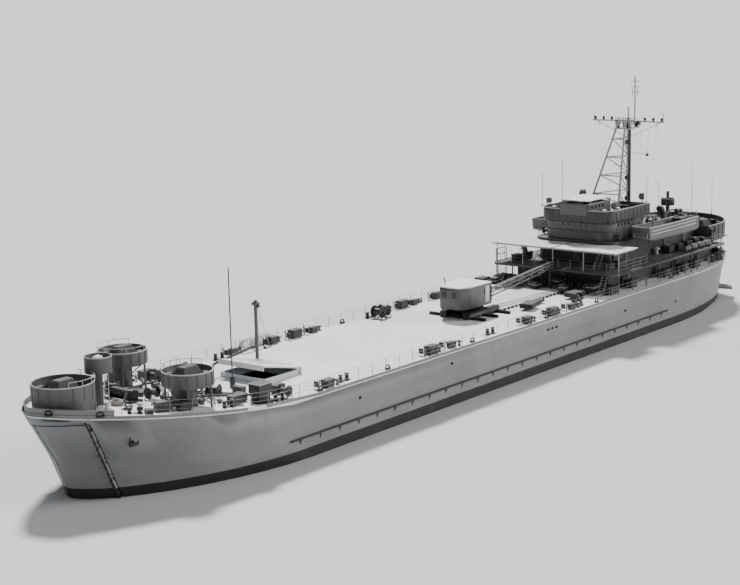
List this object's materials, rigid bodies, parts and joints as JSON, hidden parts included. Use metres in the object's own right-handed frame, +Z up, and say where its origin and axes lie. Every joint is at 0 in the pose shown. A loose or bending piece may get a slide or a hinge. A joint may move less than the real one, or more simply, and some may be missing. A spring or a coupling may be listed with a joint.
{
  "type": "tank landing ship, 1:10 scale model",
  "caption": "Flat-bottomed ocean-going tank landing ship with bow doors and ramp, long open cargo deck, deck crane, open tubs, bridge aft, lattice mast and landing boats in davits.",
  "frame": {"origin": "on the flat bottom, under the middle of the overall length and beam", "axes": "+X to the bow, +Y to port, +Z up"},
  "size_m": [10, 1.568, 2.815],
  "materials": {
    "hull_paint": "weathered matt grey",
    "deck_paint": "sun-bleached matt light grey",
    "house_paint": "matt dark grey",
    "dark_fittings": "matt near black",
    "black_steel": "matt black",
    "bronze": "dull cast bronze",
    "engine_iron": "painted casting",
    "white_canvas": "stretched white canvas",
    "grey_canvas": "weathered grey canvas"
  },
  "bodies": {
    "ship": {"hull": "hull_paint", "main_deck": "deck_paint", "pontoon_shelf_port": "hull_paint", "pontoon_shelf_starboard": "hull_paint", "engine_port": "engine_iron", "engine_starboard": "engine_iron", "propeller_shaft_port": "black_steel", "propeller_shaft_starboard": "black_steel", "propeller_guard_port": "hull_paint", "propeller_guard_starboard": "hull_paint", "bow_anchor_port": "black_steel", "bow_anchor_starboard": "black_steel", "awning_port": "white_canvas", "awning_starboard": "white_canvas", "bow_tub": "hull_paint", "forward_tub_port": "hull_paint", "forward_tub_starboard": "hull_paint", "director_tub": "hull_paint", "stern_platform": "house_paint", "covered_mount_bow": "grey_canvas", "covered_mount_port": "grey_canvas", "covered_mount_starboard": "grey_canvas", "covered_mount_stern_port": "grey_canvas", "covered_mount_stern_starboard": "grey_canvas", "anchor_windlass": "dark_fittings", "stern_winch": "dark_fittings", "kingpost": "house_paint", "whip_antenna": "dark_fittings", "ventilator_house": "dark_fittings", "forward_hatch_coaming": "deck_paint", "cargo_hatch": "deck_paint", "crane_base": "black_steel", "boom_crutch": "dark_fittings", "lower_house": "house_paint", "boat_deck": "house_paint", "middle_house": "house_paint", "bridge_deck": "house_paint", "wheelhouse": "house_paint", "flying_bridge": "house_paint", "conn": "house_paint", "conn_canopy": "white_canvas", "awning_frame": "house_paint", "mast": "house_paint", "aft_director": "dark_fittings", "aft_house": "house_paint"},
    "bow_door_port": {"bow_door_port": "hull_paint"},
    "bow_door_starboard": {"bow_door_starboard": "hull_paint"},
    "bow_ramp": {"bow_ramp": "hull_paint"},
    "propeller_port": {"propeller_port": "bronze"},
    "propeller_starboard": {"propeller_starboard": "bronze"},
    "rudder_port": {"rudder_port": "black_steel"},
    "rudder_starboard": {"rudder_starboard": "black_steel"},
    "hatch_cover": {"forward_hatch_cover": "deck_paint"},
    "crane_upper": {"crane_house": "house_paint"},
    "crane_boom": {"crane_boom": "house_paint"},
    "davits_port": {"davits_port": "house_paint"},
    "davits_starboard": {"davits_starboard": "house_paint"},
    "boat_port": {"landing_boat_port": "house_paint"},
    "boat_starboard": {"landing_boat_starboard": "house_paint"}
  },
  "joints": [
    {"name": "bow_door_port_hinge", "type": "hinge", "parent": "ship", "child": "bow_door_port", "pos_m": [4.4114, 0.279, 0.19], "axis": [0.4177, 0.0289, 0.9081], "range_deg": [0, 90]},
    {"name": "bow_door_starboard_hinge", "type": "hinge", "parent": "ship", "child": "bow_door_starboard", "pos_m": [4.4114, -0.279, 0.19], "axis": [-0.4177, 0.0289, -0.9081], "range_deg": [0, 90]},
    {"name": "bow_ramp_hinge", "type": "hinge", "parent": "ship", "child": "bow_ramp", "pos_m": [3.9, 0, 0.31], "axis": [0, 1, 0], "range_deg": [0, 56]},
    {"name": "propeller_port_shaft", "type": "hinge", "parent": "ship", "child": "propeller_port", "pos_m": [-4.2433, 0.26, 0.135], "axis": [1, 0, 0], "continuous": true},
    {"name": "propeller_starboard_shaft", "type": "hinge", "parent": "ship", "child": "propeller_starboard", "pos_m": [-4.2433, -0.26, 0.135], "axis": [1, 0, 0], "continuous": true},
    {"name": "rudder_port_stock", "type": "hinge", "parent": "ship", "child": "rudder_port", "pos_m": [-4.46, 0.26, 0.286], "axis": [0, 0, 1], "range_deg": [-35, 35]},
    {"name": "rudder_starboard_stock", "type": "hinge", "parent": "ship", "child": "rudder_starboard", "pos_m": [-4.46, -0.26, 0.286], "axis": [0, 0, 1], "range_deg": [-35, 35]},
    {"name": "hatch_cover_hinge", "type": "hinge", "parent": "ship", "child": "hatch_cover", "pos_m": [2.41475, 0, 0.81887], "axis": [0, -1, 0], "range_deg": [-12, 60]},
    {"name": "crane_slew", "type": "hinge", "parent": "ship", "child": "crane_upper", "pos_m": [-0.28, 0.02, 0.87], "axis": [0, 0, 1], "range_deg": [-170, 170]},
    {"name": "boom_luff", "type": "hinge", "parent": "crane_upper", "child": "crane_boom", "pos_m": [-0.43, 0.02, 0.8993], "axis": [0, 1, 0], "range_deg": [0, 65]},
    {"name": "davits_port_swing", "type": "hinge", "parent": "ship", "child": "davits_port", "pos_m": [-3.02, 0.455, 1.24], "axis": [-1, 0, 0], "range_deg": [0, 35]},
    {"name": "boat_port_falls", "type": "hinge", "parent": "davits_port", "child": "boat_port", "pos_m": [-3.02, 0.6, 1.432], "axis": [1, 0, 0], "range_deg": [0, 35]},
    {"name": "davits_starboard_swing", "type": "hinge", "parent": "ship", "child": "davits_starboard", "pos_m": [-3.02, -0.455, 1.24], "axis": [1, 0, 0], "range_deg": [0, 35]},
    {"name": "boat_starboard_falls", "type": "hinge", "parent": "davits_starboard", "child": "boat_starboard", "pos_m": [-3.02, -0.6, 1.432], "axis": [-1, 0, 0], "range_deg": [0, 35]}
  ],
  "couplings": [
    {"joint": "bow_door_starboard_hinge", "follows": "bow_door_port_hinge", "ratio": 1},
    {"joint": "bow_ramp_hinge", "follows": "bow_door_port_hinge", "ratio": 0.62},
    {"joint": "rudder_starboard_stock", "follows": "rudder_port_stock", "ratio": 1},
    {"joint": "boat_port_falls", "follows": "davits_port_swing", "ratio": 1},
    {"joint": "boat_starboard_falls", "follows": "davits_starboard_swing", "ratio": 1}
  ]
}
